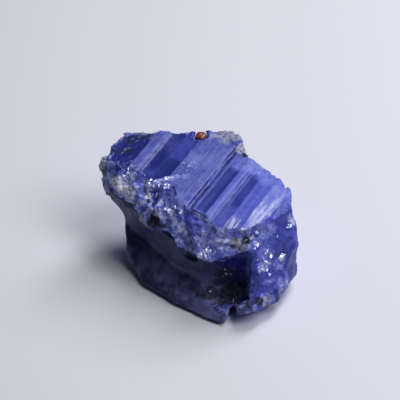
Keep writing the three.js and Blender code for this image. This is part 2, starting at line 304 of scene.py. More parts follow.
CALCITE = [
    ((-14.9, 3.6, 17.2), (1.9, 1.2, 1.1), 0.9),
    ((-13.3, 2.5, 16.9), (1.6, 1.1, 1.1), 1.0),
    ((-12.0, 1.6, 16.5), (0.9, 0.9, 0.9), 0.9),
    ((-9.0, 0.5, 17.0), (0.55, 0.5, 0.6), 1.0),
    ((-3.0, -4.3, 17.4), (0.42, 0.42, 0.6), 1.0),
]
GREY_CRUST = [
    ((-15.8, 4.9, 15.2), (2.0, 1.6, 1.5), 0.3),
    ((-17.4, 8.4, 17.7), (1.2, 1.6, 1.7), 0.8),
    ((6.2, 14.6, 20.3), (3.0, 1.8, 1.2), 0.75),
    ((8.6, 12.0, 18.9), (1.6, 1.8, 1.6), 0.9),
    ((7.1, -9.6, 14.4), (2.1, 1.2, 1.2), 1.0),
    ((-10.2, -2.2, 13.7), (1.2, 1.1, 0.9), 0.6),
    ((11.7, -13.3, 3.9), (1.4, 1.0, 0.8), 0.7),
]
GRAPHITE_AND_PIT_SHADE = [
    ((4.9, -9.4, 6.4), (2.0, 1.0, 2.2), 0.85),
    ((4.2, -10.6, 3.2), (4.0, 2.0, 1.6), 0.85),
    ((10.6, -13.9, 4.6), (1.0, 0.9, 0.8), 0.9),
    ((9.0, -14.9, 4.6), (0.8, 0.8, 0.6), 0.7),
    ((-8.1, -3.8, 14.7), (2.0, 1.6, 1.2), 1.0),
    ((8.5, -9.3, 14.7), (0.9, 0.8, 0.9), 1.0),
    ((6.2, -9.9, 14.0), (0.7, 0.6, 0.7), 0.9),
    ((-1.3, -8.4, 13.6), (0.35, 0.4, 0.35), 0.9),
    ((-16.6, 7.4, 18.2), (0.55, 0.6, 0.6), 0.9),
    ((-17.4, 7.6, 17.3), (0.4, 0.4, 0.4), 0.8),
    ((-15.2, 4.2, 17.7), (0.25, 0.3, 0.3), 1.0),
    ((-12.2, 2.2, 17.0), (0.5, 0.4, 0.4), 0.9),
    ((-8.9, -0.2, 16.6), (0.35, 0.4, 0.35), 0.9),
    # This patch is painted shade: black graphite put in the pit under the rim.
    ((-1.4, -9.4, 11.3), (1.4, 1.2, 1.0), 1.0),
    ((8.6, 10.2, 18.6), (0.7, 0.8, 0.8), 0.9),
]
SMUDGED = [
    ((-10.1, 14.2, 20.4), (2.0, 1.1, 0.8), 0.75),
    ((-12.6, 12.9, 20.4), (1.4, 1.0, 0.8), 0.70),
    ((-12.7, 10.0, 20.1), (1.3, 0.9, 0.8), 0.85),
    ((-15.4, 9.8, 20.1), (1.2, 1.0, 0.8), 0.40),
    ((2.1, -8.2, 16.2), (0.8, 0.6, 0.6), 0.70),
]
# Places with more small facets, and more glints painted white there as highlights.
SPARKLING = [
    ((10.6, -9.4, 13.9), (1.2, 1.0, 0.8), 1.0),
    ((11.6, -9.3, 12.4), (2.0, 1.2, 1.2), 0.9),
    ((13.2, -8.6, 10.4), (1.0, 0.9, 0.8), 1.0),
    ((14.9, -7.4, 9.4), (0.8, 0.9, 1.0), 0.7),
    ((16.2, -4.6, 15.2), (0.9, 0.9, 0.8), 0.8),
    ((12.4, -8.0, 15.0), (1.2, 1.0, 1.6), 0.6),
    ((12.1, -10.5, 9.7), (1.9, 1.4, 1.1), 1.2),
    ((-0.2, -9.0, 13.4), (3.0, 2.2, 1.6), 0.35),
    ((2.0, -10.9, 13.2), (1.2, 1.0, 1.0), 0.6),
    ((-12.4, 5.0, 19.2), (3.4, 1.8, 1.6), 0.5),
    ((-5.8, -3.2, 16.8), (2.6, 1.6, 1.2), 0.50),
    ((-8.7, 0.9, 17.8), (2.6, 1.2, 0.9), 0.60),
    ((9.4, -8.6, 15.4), (1.4, 1.0, 1.0), 0.6),
    ((12.8, -10.0, 11.0), (3.4, 3.0, 3.4), 0.22),
    ((3.6, -13.4, 2.6), (2.4, 2.0, 1.4), 0.3),
    ((-1.8, 6.5, 19.3), (1.9, 1.9, 1.2), 0.45),
]
# Small facets painted white as highlights and made to mirror the lights; the amount is the share of crumbs
# there that do.
FLASHING = [
    ((10.6, -9.3, 13.9), (0.45, 0.45, 0.32), 0.8),
    ((10.2, -9.7, 13.5), (0.34, 0.34, 0.28), 0.7),
    ((11.5, -9.1, 11.9), (0.60, 0.60, 0.50), 0.55),
    ((12.3, -8.5, 11.7), (0.40, 0.40, 0.34), 0.6),
    ((13.1, -8.6, 10.5), (0.60, 0.60, 0.36), 0.55),
    ((15.0, -7.3, 9.3), (0.40, 0.60, 0.72), 0.9),
    ((11.6, -10.3, 9.2), (1.10, 0.90, 0.46), 0.68),
    ((12.4, -10.1, 8.6), (0.70, 0.60, 0.40), 0.8),
    ((10.9, -10.6, 10.0), (0.60, 0.50, 0.26), 0.45),
    ((12.8, -10.4, 7.7), (0.40, 0.40, 0.34), 0.6),
    ((12.0, -9.6, 11.0), (1.60, 1.20, 1.40), 0.12),
    ((16.4, -4.2, 14.0), (0.60, 0.60, 0.44), 0.6),
    ((14.0, -6.5, 13.8), (0.30, 0.40, 0.80), 0.4),
    ((8.0, -8.3, 16.9), (0.50, 0.40, 0.34), 0.5),
    ((1.6, -10.4, 13.4), (1.60, 1.20, 0.90), 0.20),
    ((-3.0, -4.3, 17.4), (0.46, 0.46, 0.60), 0.7),
    ((-5.7, -3.1, 17.1), (1.60, 1.20, 0.60), 0.15),
    ((-6.1, 1.6, 18.7), (1.20, 0.90, 0.50), 0.35),
    ((-5.0, 3.0, 19.2), (1.00, 0.50, 0.30), 0.55),
    ((-9.0, 2.4, 18.9), (2.00, 0.90, 0.60), 0.12),
    ((-11.8, 1.1, 14.1), (0.30, 0.30, 0.30), 0.6),
]


def painted(points, patches, start, salt, ragged=0.8, edge=0.3):
    """A value at each point that starts the same all over and is taken to each patch's amount inside it."""
    value = np.zeros(len(points)) + start
    for number, (centre, radii, amount) in enumerate(patches):
        share = patch(points, centre, radii, ragged, edge, salt + 2 * number)
        value += share * (amount - value)
    return value


def regions(points, normals, broad_normals):
    """Which main surface each point belongs to, as shares from 0 to 1."""
    x, y, z = points.T
    top = ramp(under_top(points), *TOP_DEPTH) * ramp(broad_normals @ TOP_FACING, *TOP_DIRECTION)
    left_front = ramp(-normals[:, 0] - normals[:, 1], *LEFT_FRONT_DIRECTION)
    rim_x, rim_z = np.array(RIM_EDGE).T
    rim_level = np.interp(x, rim_x, rim_z) + wavy(points, 0.8, 1.2, 40)
    below_rim = ramp(z, rim_level + 0.15, rim_level - 0.35)
    hollow_floor = ramp(x, *HOLLOW_FLOOR_LEFT) * ramp(z, *HOLLOW_FLOOR_HEIGHT)
    hollow_floor *= ramp(y, *HOLLOW_FLOOR_FRONT) * ramp(y, *HOLLOW_FLOOR_BACK)
    hollow = below_rim * np.maximum(left_front, hollow_floor) * ramp(x, *HOLLOW_RIGHT_END)
    window = ramp(x, *WINDOW_LEFT) * ramp(z, *WINDOW_HEIGHT) * hollow
    rough = (1 - top) * (1 - hollow)
    right = ramp(0.8 * normals[:, 0] - 0.35 * normals[:, 1], *RIGHT_DIRECTION) * rough
    return {"top": top, "hollow": hollow, "window": window, "rough": rough, "right": right}


def surface_masks(points, where):
    """Minerals, crumbs and other qualities of the surface, as shares from 0 to 1."""
    top, hollow, rough = where["top"], where["hollow"], where["rough"]
    across, along = across_grain(points), along_grain(points)
    calcite = painted(points, CALCITE, 0, 31)
    graphite = painted(points, GRAPHITE_AND_PIT_SHADE, 0, 131, ragged=1.1)
    sparkling = painted(points, SPARKLING, 0.03, 171)
    deep = painted(points, DEEP, 0, 231)
    fresh = np.maximum(where["right"], deep)
    beside_ridge = np.abs(along - across - RIDGE_START) / math.sqrt(2) + wavy(points, 0.7, 0.8, 57)
    ridge = top * ramp(beside_ridge, 0.8, 0.3) * within(across, *RIDGE_ENDS, 0.5)
    combed = within(across, 7.8, 10.1, 0.2) * ramp(along, -6.0, -5.4) * ramp(along, -1.4, -2.2)
    right_edge, left_edge = ramp(across, 12.4, 14.4), ramp(across, -13.4, -14.6)
    back_right = ramp(along, 8.6, 10.6) * ramp(across, 1, 3)
    # Scattered painted highlights: a few white glints off the cleavage face, more of them in graphite in the
    # hollow.
    stray = 0.012 * (hollow + rough) + 0.05 * hollow * graphite
    return {
        "deep": deep,
        "calcite": calcite * (1 - graphite),
        "graphite": graphite,
        "grey_crust": painted(points, GREY_CRUST, 0, 151) * (1 - calcite) * (1 - graphite),
        "sparkling": np.maximum(sparkling, 0.5 * ridge),
        "crumbly": rough * np.clip(1 - 0.85 * fresh + 0.8 * sparkling, 0, 1),
        "crumb_ridge": ridge,
        "smudged": painted(points, SMUDGED, 0, 251, ragged=1.2),
        "flashing": painted(points, FLASHING, 0, 291, ragged=0.7, edge=0.5) + stray,
        "pitted": np.clip(right_edge + left_edge + 0.6 * back_right, 0, 1),
        "combed": top * combed,
    }


# ---------------------------------------------------------------- the crystal's relief

# Each kind of relief: its depth and the size of its scoops, facets or grains, in millimetres, and its salt.
# The pits and grooves in the second group drift slowly about a middle level.
WALL_SCOOPS = (0.45, 3.4, 60)
HOLLOW_SCOOPS = (0.26, 5.2, 64)
HOLLOW_DENTS = (0.12, 1.9, 66)
CRUMBS = (0.16, 0.9, 80)
SPARKLING_FACETS = (0.14, 0.8, 85)
RIDGE_CRUMBS = (0.22, 0.7, 86)
MINERAL_GRAINS = (0.30, 0.7, 90)
PITS = (0.10, 0.7, 130)

BROAD_PITS = (0.10, 1.9, 131)
BROAD_GROOVES = (0.045, 0.9, 110)
FINE_GROOVES = (0.03, 0.42, 120)
COMBED_GROOVES = (0.20, 0.55, 125)

WALL_FACETS = (2.4, 70)  # size and salt
WALL_FACET_DEPTH = 0.46
RIGHT_FACETS_LOWER = 0.14
FACET_WEAR = 2  # rounds of smoothing that wear the steps between the walls' facets
CALM_EDGE = 12  # rounds that spread the cleavage face's calm over the top of the walls
RIDGE_HEIGHT = 0.16
GRAINS_RAISED = 0.10
GROOVE_STRETCH = 0.05  # how slowly the grooves change along the grain
GARNET_SQUEEZE = 0.25  # how far the socket's walls come in towards the garnet


def carved(kind, points, depth, size, salt):
    return depth * kind(points, size, salt)


def relief(points, edges, where, masks):
    """How far the surface stands in or out at each point, in millimetres."""
    top, hollow, rough = where["top"], where["hollow"], where["rough"]
    wall_facets = smoothed(facets(points, *WALL_FACETS), edges, FACET_WEAR)
    facet_depth = WALL_FACET_DEPTH - RIGHT_FACETS_LOWER * where["right"]
    lift = rough * (carved(scoops, points, *WALL_SCOOPS) + facet_depth * wall_facets)
    lift *= 1 - 0.8 * smoothed(top, edges, CALM_EDGE)
    lift += masks["crumbly"] * carved(facets, points, *CRUMBS)
    lift += masks["sparkling"] * rough * carved(facets, points, *SPARKLING_FACETS)
    lift += hollow * (carved(scoops, points, *HOLLOW_SCOOPS) + carved(scoops, points, *HOLLOW_DENTS))
    granular = np.maximum(masks["calcite"], masks["graphite"] * (1 - 0.6 * hollow))
    granular += 0.5 * masks["grey_crust"]
    lift += granular * (carved(grains, points, *MINERAL_GRAINS) + GRAINS_RAISED)
    lift += masks["crumb_ridge"] * (RIDGE_HEIGHT + carved(facets, points, *RIDGE_CRUMBS))
    # The cleavage face: fine grooves along the grain, and small pits where it is crumbled.
    across = across_grain(points) + wavy(points, 0.12, 4.0, 100)
    stretched = np.stack([across, along_grain(points) * GROOVE_STRETCH, np.zeros_like(across)], axis=1)
    grooves = wavy(stretched, *BROAD_GROOVES) + wavy(stretched, *FINE_GROOVES)
    pits = carved(facets, points, *PITS) + wavy(points, *BROAD_PITS)
    lift += top * (grooves + pits * masks["pitted"] + wavy(stretched, *COMBED_GROOVES) * masks["combed"])
    apart = from_garnet(points)
    return lift * ramp(apart, *GARNET_SOCKET) + GARNET_SQUEEZE * ramp(apart, *GARNET_CLOSE)


# ---------------------------------------------------------------- the crystal's frost and brightness

CHIPPED_EDGE = 16  # rounds of smoothing that show where the cleavage face ends
CLOSE_BY = (3, 0.05)  # rounds of smoothing, and the height in millimetres of a small ridge above the rest
FARTHER_OFF = (14, 0.25)


def band_changes(points):
    """Where the cleavage face departs from its bands: how far, and the frost and brightness it has there."""
    across = across_grain(points) + wavy(points, 0.25, 2.0, 50)
    along = along_grain(points) + wavy(points, 1.6, 1.3, 51)
    changed, frost, bright = np.zeros(len(points)), np.full(len(points), 0.1), np.full(len(points), 0.6)
    for sides, ends, new_frost, new_bright, soft_sides, soft_ends in BAND_CHANGES:
        share = within(across, *sides, soft_sides) * within(along, *ends, soft_ends)
        reach = np.where(changed > 0.02, share, (share > 0).astype(float))
        frost += reach * (new_frost - frost)
        bright += reach * (new_bright - bright)
        changed = np.maximum(changed, share)
    return changed, frost, bright


def top_qualities(points, edges, top, crumb_ridge):
    """The same, with the ridge of crumbs and the chipped edge of the cleavage face."""
    changed, frost, bright = band_changes(points)
    changed = np.maximum(changed, crumb_ridge)
    frost += crumb_ridge * (RIDGE_FROST - frost)
    chipped_edge = top * ramp(smoothed(top, edges, CHIPPED_EDGE), 0.98, 0.70)
    chipped_edge *= ramp(drift(points, 0.9, 58), 0.25, 0.6)
    frost += np.where(changed < chipped_edge, chipped_edge, 0) * (EDGE_FROST - frost)
    return np.maximum(changed, 0.8 * chipped_edge), frost, bright


def wall_qualities(points, where, deep):
    """The frost and the brightness of the walls, with painted light on the right wall."""
    _, y, z = points.T
    plain_frost = 0.38 - 0.35 * where["right"] - 0.36 * where["hollow"]
    frost = painted(points, FROSTED_AND_GLINT_PAINT, plain_frost, 191) * (1 - 0.9 * deep)
    feet = ramp(y, *FEET_FRONT) * ramp(z, *FEET_HEIGHT)
    # Painted light: the right wall's blue is brighter high up and a little darker low down.
    bright = 0.70 + where["right"] * (0.40 * ramp(z, *RIGHT_PAINTED_LIGHT_HEIGHT) - 0.12)
    return frost, bright * (1 - 0.3 * deep) * (1 - 0.6 * feet)


def bulge_of(moved, normals, edges):
    """How far each point stands out from those around it, close by and farther off; 1 is a small ridge."""
    bulge = np.zeros(len(moved))
    for rounds, small_ridge in (CLOSE_BY, FARTHER_OFF):
        bulge += ((moved - smoothed(moved, edges, rounds)) * normals).sum(1) / small_ridge
    return bulge


# What the stone's material reads from its surface.
FACES_READ = ("banded", "top_face", "hollow_wall", "window", "pale_hollow")
FINISH_READ = ("frost", "brightness", "ridge", "gully")
MASKS_READ = ("calcite", "graphite", "grey_crust", "sparkling", "smudged", "crumbly", "combed", "flashing")
QUALITIES = FACES_READ + FINISH_READ + MASKS_READ


def qualities(points, edges, bulge, where, masks):
    """Each of them at each point, as shares from 0 to 1."""
    top, hollow, deep = where["top"], where["hollow"], masks["deep"]
    walls = 1 - top
    clean = ramp(from_garnet(points), *GARNET_CLEAN)
    changed, top_frost, top_bright = top_qualities(points, edges, top, masks["crumb_ridge"])
    wall_frost, wall_bright = wall_qualities(points, where, deep)
    found = {
        "banded": top * (1 - changed),
        "top_face": top,
        "hollow_wall": hollow,
        "window": where["window"],
        "pale_hollow": hollow * ramp(points[:, 2], *HOLLOW_SHADE_FADE_HEIGHT),
        "frost": top_frost * top + wall_frost * walls * clean,
        "brightness": top_bright * top + wall_bright * walls,
        "ridge": ramp(bulge, 0.8, 3.0) * walls * clean * (1 - 0.9 * deep),
        # Painted shade in gullies, where the surface dips below its neighbours.
        "gully": ramp(-bulge, 0.4, 2.4) * walls,
    }
    return found | {name: masks[name] for name in MASKS_READ}


# ---------------------------------------------------------------- the two pieces, with sizes in millimetres

FINENESS = 0.215  # between neighbouring points
FLAT_SPOT = 0.35  # the height up to which the stone keeps the flat form it rests on
UNDERCUT = 0.45  # how far the lowest edge is worn back from the walls above it
UNDERCUT_HEIGHT = (1.4, 0.0)
STEPS_SMOOTHED = 4  # rounds that take away the small steps of the evenly spaced points
BROADLY_SMOOTHED = 8  # rounds after which a normal stands for the face around it
GARNET_ROUNDING = 0.30  # of the garnet's edges


def solid_copy(node):
    """A CAD node's form as a bmesh of its own, closed."""
    form = bmesh.new()
    form.from_mesh(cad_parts[node].data)
    bmesh.ops.remove_doubles(form, verts=form.verts, dist=1e-7)
    return form


def put_in_scene(name, form):
    mesh = bpy.data.meshes.new(name)
    form.to_mesh(mesh)
    form.free()
    piece = bpy.data.objects.new(name, mesh)
    bpy.context.scene.collection.objects.link(piece)
    return piece


def even_mesh(piece):
    """Gives the piece evenly spaced points, and returns its new mesh."""
    remesh = piece.modifiers.new("even points", "REMESH")
    remesh.mode = "VOXEL"
    remesh.voxel_size = FINENESS * MM
    depsgraph = bpy.context.evaluated_depsgraph_get()
    mesh = bpy.data.meshes.new_from_object(piece.evaluated_get(depsgraph))
    piece.modifiers.clear()
    piece.data = mesh
    mesh.shade_smooth()
    return mesh


def vectors_of(items, name):
    flat = np.zeros(len(items) * 3, np.float32)
    items.foreach_get(name, flat)
    return flat.reshape(-1, 3).astype(float)


def edges_of(mesh):
    flat = np.zeros(len(mesh.edges) * 2, np.int32)
    mesh.edges.foreach_get("vertices", flat)
    return flat.reshape(-1, 2)


def smoothed(values, edges, rounds):
    """Each value averaged with its neighbours', a number of times."""
    columns = np.array(values, float).reshape(len(values), -1)
    shares = np.bincount(edges.ravel(), minlength=len(columns))[:, None] + 1.0
    for _ in range(rounds):
        total = columns.copy()
        for c in range(columns.shape[1]):
            total[:, c] += np.bincount(edges[:, 0], columns[edges[:, 1], c], len(columns))
            total[:, c] += np.bincount(edges[:, 1], columns[edges[:, 0], c], len(columns))
        columns = total / shares
    return columns.reshape(np.shape(values))


def unit(vectors):
    return vectors / np.linalg.norm(vectors, axis=1)[:, None]


def paint(mesh, name, values):
    layer = mesh.attributes.new(name, "FLOAT", "POINT")
    layer.data.foreach_set("value", np.clip(values, 0, 1).astype(np.float32))


def crystal():
    piece = put_in_scene("tanzanite_stone", solid_copy("tanzanite_crystal"))
    mesh = even_mesh(piece)
    edges = edges_of(mesh)
    solid = vectors_of(mesh.vertices, "co") / MM
    own_relief = ramp(from_garnet(solid), *GARNET_SOCKET)[:, None]
    points = solid + own_relief * (smoothed(solid, edges, STEPS_SMOOTHED) - solid)
    normals = unit(smoothed(vectors_of(mesh.vertices, "normal"), edges, STEPS_SMOOTHED))
    where = regions(points, normals, unit(smoothed(normals, edges, BROADLY_SMOOTHED)))
    masks = surface_masks(points, where)

    lift = np.where(solid[:, 2] < FLAT_SPOT, 0, relief(points, edges, where, masks))
    moved = points + normals * lift[:, None]
    moved[:, :2] -= normals[:, :2] * UNDERCUT * ramp(points[:, 2], *UNDERCUT_HEIGHT)[:, None]
    moved[:, 2] = np.maximum(moved[:, 2], 0.0)
    mesh.vertices.foreach_set("co", (moved * MM).astype(np.float32).ravel())
    mesh.update()

    bulge = bulge_of(moved, normals, edges)
    found = qualities(points, edges, bulge, where, masks)
    for name in QUALITIES:
        paint(mesh, name, found[name])
    mesh.materials.append(tanzanite_material())
    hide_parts("tanzanite_crystal")
    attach(piece, "root")


def garnet():
    form = solid_copy("garnet_grain")
    bmesh.ops.dissolve_limit(form, angle_limit=math.radians(2), verts=form.verts, edges=form.edges)
    rounding = {"offset": GARNET_ROUNDING * MM, "segments": 3, "profile": 0.5}
    bmesh.ops.bevel(form, geom=form.edges[:], affect="EDGES", material=-1, **rounding)
    piece = put_in_scene("garnet", form)
    piece.data.materials.append(garnet_material())
    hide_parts("garnet_grain")
    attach(piece, "root")


# ---------------------------------------------------------------- materials


class Nodes:
    """Short ways to add and join the nodes of one material."""

    def __init__(self, name):
        self.material = bpy.data.materials.new(name)
        self.material.use_nodes = True
        self.tree = self.material.node_tree
        self.shader = self.tree.nodes["Principled BSDF"]
        self.output = self.tree.nodes["Material Output"]

    def add(self, kind, **settings):
        node = self.tree.nodes.new(kind)
        for key, value in settings.items():
            setattr(node, key, value)
        return node

    def join(self, source, target):
        self.tree.links.new(source, target)

    def place(self, value, target):
        """Joins an output to a socket, or sets the socket to a plain value."""
        if isinstance(value, bpy.types.NodeSocket):
            self.join(value, target)
        else:
            target.default_value = value

    def attribute(self, name):
        return self.add("ShaderNodeAttribute", attribute_name=name).outputs["Fac"]

    def math(self, operation, a, b, clamp=False):
        node = self.add("ShaderNodeMath", operation=operation, use_clamp=clamp)
        self.place(a, node.inputs[0])
        self.place(b, node.inputs[1])
        return node.outputs[0]

    def plus(self, a, b, clamp=False):
        return self.math("ADD", a, b, clamp)

    def minus(self, a, b):
        return self.math("SUBTRACT", a, b)

    def times(self, a, b, clamp=False):
        return self.math("MULTIPLY", a, b, clamp)

    def larger(self, a, b):
        return self.math("MAXIMUM", a, b)

    def rest_of(self, share):
        """What a share leaves of 1."""
        return self.math("SUBTRACT", 1.0, share, clamp=True)

    def off_middle(self, value):
        return self.minus(value, 0.5)

    def swing(self, value, amount):
        """A value from 0 to 1 as a swing to both sides of zero."""
        return self.times(self.off_middle(value), amount)

    def more(self, value, amount, share):
        """The value with a share of an amount added, kept within 0 and 1."""
        return self.plus(value, self.times(amount, share), clamp=True)

    def mix(self, share, a, b):
        node = self.add("ShaderNodeMix", data_type="RGBA")
        self.place(share, node.inputs[0])
        self.place(a, node.inputs[6])
        self.place(b, node.inputs[7])
        return node.outputs[2]

    def blend(self, share, a, b):
        node = self.add("ShaderNodeMix", data_type="FLOAT")
        self.place(share, node.inputs[0])
        self.place(a, node.inputs[2])
        self.place(b, node.inputs[3])
        return node.outputs[0]

    def noise(self, where, scale, detail=3.0, roughness=0.55):
        node = self.add("ShaderNodeTexNoise")
        self.join(where, node.inputs["Vector"])
        node.inputs["Scale"].default_value = scale
        node.inputs["Detail"].default_value = detail
        node.inputs["Roughness"].default_value = roughness
        return node.outputs["Fac"]

    def levels(self, value, low, high):
        """0 below low, 1 above high, and a smooth rise between; low may be the larger one."""
        node = self.add("ShaderNodeMapRange", interpolation_type="SMOOTHSTEP")
        self.place(value, node.inputs["Value"])
        node.inputs["From Min"].default_value = low
        node.inputs["From Max"].default_value = high
        return node.outputs["Result"]

    def millimetres(self, turn=0.0, stretch=(1, 1, 1)):
        """Object coordinates in millimetres, turned about Z and stretched along the turned axes."""
        where = self.add("ShaderNodeTexCoord").outputs["Object"]
        turned = self.add("ShaderNodeMapping", vector_type="TEXTURE")
        turned.inputs["Rotation"].default_value[2] = turn
        self.join(where, turned.inputs["Vector"])
        scaled = self.add("ShaderNodeMapping")
        scaled.inputs["Scale"].default_value = [s / MM for s in stretch]
        self.join(turned.outputs[0], scaled.inputs["Vector"])
        return scaled.outputs[0]

    def ramp(self, value, stops, stepped=False):
        """A colour ramp with stops as (value in 0 to 1, colour), either smooth or in steps."""
        node = self.add("ShaderNodeValToRGB")
        self.join(value, node.inputs["Fac"])
        node.color_ramp.interpolation = "CONSTANT" if stepped else "LINEAR"
        elements = node.color_ramp.elements
        while len(elements) < len(stops):
            elements.new(0.5)
        for element, (at, colour) in zip(elements, stops):
            element.position = at
            element.color = (*colour, 1)
        return node.outputs["Color"]

    def parts(self, vector):
        """The three parts of a vector or colour."""
        node = self.add("ShaderNodeSeparateXYZ")
        self.join(vector, node.inputs[0])
        return node.outputs

    def cells(self, where, size):
        """Irregular cells: three random numbers and a lean for each, and the way from its seed."""
        node = self.add("ShaderNodeTexVoronoi")
        self.join(where, node.inputs["Vector"])
        node.inputs["Scale"].default_value = 1 / size
        return SimpleNamespace(
            chance=self.parts(node.outputs["Color"]),
            lean=self.vector("SUBTRACT", node.outputs["Color"], (0.5, 0.5, 0.5)),
            from_seed=node.outputs["Distance"],
            way_from_seed=self.vector("SUBTRACT", where, node.outputs["Position"]),
        )

    def facets(self, cells):
        """The height of a flat facet in each cell, tilted by the cell's lean."""
        return self.vector("DOT_PRODUCT", cells.way_from_seed, cells.lean, output=1)

    def warped(self, where, scale, reach):
        """The place moved about by noise, so that cells come out ragged."""
        node = self.add("ShaderNodeTexNoise")
        self.join(where, node.inputs["Vector"])
        node.inputs["Scale"].default_value = scale
        offset = self.vector("SUBTRACT", node.outputs["Color"], (0.5, 0.5, 0.5))
        return self.vector("ADD", where, self.vector("MULTIPLY", offset, (reach, reach, reach)))

    def cell_borders(self, where, size):
        """The distance to the border of the same cells, in cell sizes."""
        node = self.add("ShaderNodeTexVoronoi", feature="DISTANCE_TO_EDGE")
        self.join(where, node.inputs["Vector"])
        node.inputs["Scale"].default_value = 1 / size
        return node.outputs["Distance"]

    def vector(self, operation, a, b=(0, 0, 0), output=0):
        node = self.add("ShaderNodeVectorMath", operation=operation)
        self.place(a, node.inputs[0])
        self.place(b, node.inputs[1])
        return node.outputs[output]

    def bump(self, height, distance, strength, after=None):
        node = self.add("ShaderNodeBump")
        node.inputs["Strength"].default_value = strength
        node.inputs["Distance"].default_value = distance
        self.join(height, node.inputs["Height"])
        if after is not None:
            self.join(after, node.inputs["Normal"])
        return node.outputs["Normal"]


DEEP_BLUE = (0.012, 0.024, 0.210, 1)
BRIGHT_BLUE = (0.082, 0.102, 0.620, 1)
# The hollow's blue with painted shade: dark under the rim, paler lower down.
HOLLOW_SHADE_DARK = (0.028, 0.032, 0.108, 1)
HOLLOW_PALE_LESS_SHADE = (0.140, 0.155, 0.350, 1)
# The window face's near-black blue: partly the clear stone's depth, partly painted shade under the rim.
WINDOW_BLUE_AND_SHADE = (0.002, 0.004, 0.150, 1)
SMUDGE = (0.028, 0.034, 0.090, 1)
FROST = (0.430, 0.500, 0.950, 1)
FROST_WHITE = (0.580, 0.640, 1.000, 1)
# The white painted into the glints as a highlight.
SPARKLE_WHITE = (0.640, 0.720, 1.000, 1)
CALCITE_WHITE = (0.840, 0.890, 1.000, 1)
CALCITE_SHADE = (0.480, 0.520, 0.860, 1)
# Black of graphite, also painted as shade in the pit under the rim.
GRAPHITE_AND_SHADE_BLACK = (0.010, 0.010, 0.014, 1)
GRAPHITE_TAN = (0.120, 0.115, 0.105, 1)
CRUST_GREY = (0.450, 0.455, 0.580, 1)
CRUST_DARK = (0.150, 0.150, 0.195, 1)
GARNET_DARK = (0.085, 0.009, 0.008, 1)
GARNET_RED = (0.300, 0.050, 0.045, 1)
INNER_BLUE = (0.06, 0.10, 0.80, 1)
SHEEN_BLUE = (0.55, 0.62, 1.0, 1)
FLOOR_WHITE = (0.790, 0.795, 0.895, 1)
ROOM_WHITE = (0.82, 0.86, 1.0, 1)

TANZANITE_IOR = 1.69
GARNET_IOR = 1.78
CLEAREST = 0.25  # how much of the light passes into a fresh, clean face
DARKENING = 400.0  # of that light on its way through the stone

# Sizes of the cells that break up the surface, in millimetres.
CRUMB = 0.34
GLINT = 0.50
CHIP = 0.95
PLANE = 2.3

SPAN = (-20.0, 20.0)  # of the bands and lines, across the grain
MIRROR_FACING = (0.24, -0.54, 0.81)  # the small bright facets lie along one direction of the crystal
STRAY_SPREAD = 1.3  # how far the scattered ones lean away from it
PLACED_SPREAD = 0.6


def along_span(place):
    """A place across the grain, in millimetres, as a share of the span."""
    return (place - SPAN[0]) / (SPAN[1] - SPAN[0])


def band_qualities(n, across_share):
    """The frost and the brightness of the band at a place across the grain."""
    starts = [0.0] + [along_span(right_edge) for right_edge, _, _ in BANDS[:-1]]
    stops = [(start, (frost, bright, 0)) for start, (_, frost, bright) in zip(starts, BANDS)]
    frost, brightness, _ = n.parts(n.ramp(across_share, stops, stepped=True))
    return frost, brightness


def hairlines(n, across_share, places, half_width=0.11):
    """Thin lines along the grain: 1 on a line, 0 between them."""
    stops = []
    for at in places:
        stops += [(at - half_width, 0.0), (at, 1.0), (at + half_width, 0.0)]
    return n.parts(n.ramp(across_share, [(along_span(at), (light,) * 3) for at, light in stops]))[0]


def place_across(n, where):
    """The place across the grain as a share of the span, wandering a little and frayed."""
    wander = n.swing(n.noise(where, 0.3, 2), 0.4)
    fray = n.swing(n.noise(where, 3.0, 2), 0.12)
    across = n.minus(n.plus(wander, fray), n.parts(n.millimetres(turn=GRAIN_ANGLE))[1])
    return n.math("DIVIDE", n.minus(across, SPAN[0]), SPAN[1] - SPAN[0])


def stone_patterns(n, where):
    """The lines, clouds and cells that the stone's colours, frost and bumps share."""
    ragged = n.warped(where, 0.9, 2.2)
    return SimpleNamespace(
        lines=n.noise(n.millimetres(turn=GRAIN_ANGLE, stretch=(0.06, 1.0, 1.0)), 2.3, 4, 0.75),
        streaks=n.noise(n.millimetres(turn=GRAIN_ANGLE, stretch=(0.15, 1.0, 1.0)), 0.8, 3, 0.6),
        clouds=n.noise(where, 0.28, 3, 0.5),
        mottle=n.noise(where, 0.8, 5, 0.65),
        specks=n.noise(where, 2.6, 3, 0.6),
        grit=n.noise(where, 1.7, 4, 0.6),
        flecks=n.noise(where, 1.7, 3),
        crumbs=n.cells(where, CRUMB),
        glints=n.cells(ragged, GLINT),
        chips=n.cells(ragged, CHIP),
        chip_borders=n.cell_borders(ragged, CHIP),
        planes=n.cells(ragged, PLANE),
    )


def frost_on_top(n, skin, pattern, placed, across):
    """Frost on the cleavage face is drawn out in lines along the grain."""
    fibrous = n.plus(0.7, n.times(placed, 4.4))
    fibrous = n.plus(fibrous, n.times(skin.combed, 6.0))
    uneven = n.plus(1.0, n.swing(pattern.lines, fibrous))
    uneven = n.plus(uneven, n.swing(pattern.streaks, 1.2))
    uneven = n.plus(uneven, n.swing(pattern.mottle, 2.0))
    uneven = n.plus(uneven, n.swing(pattern.specks, 1.2))
    frost = n.times(placed, uneven, clamp=True)
    frost = n.more(frost, n.times(hairlines(n, across, PALE_LINES), skin.banded), 0.11)
    return n.more(frost, n.times(hairlines(n, across, DARK_LINES), skin.banded), -0.10)


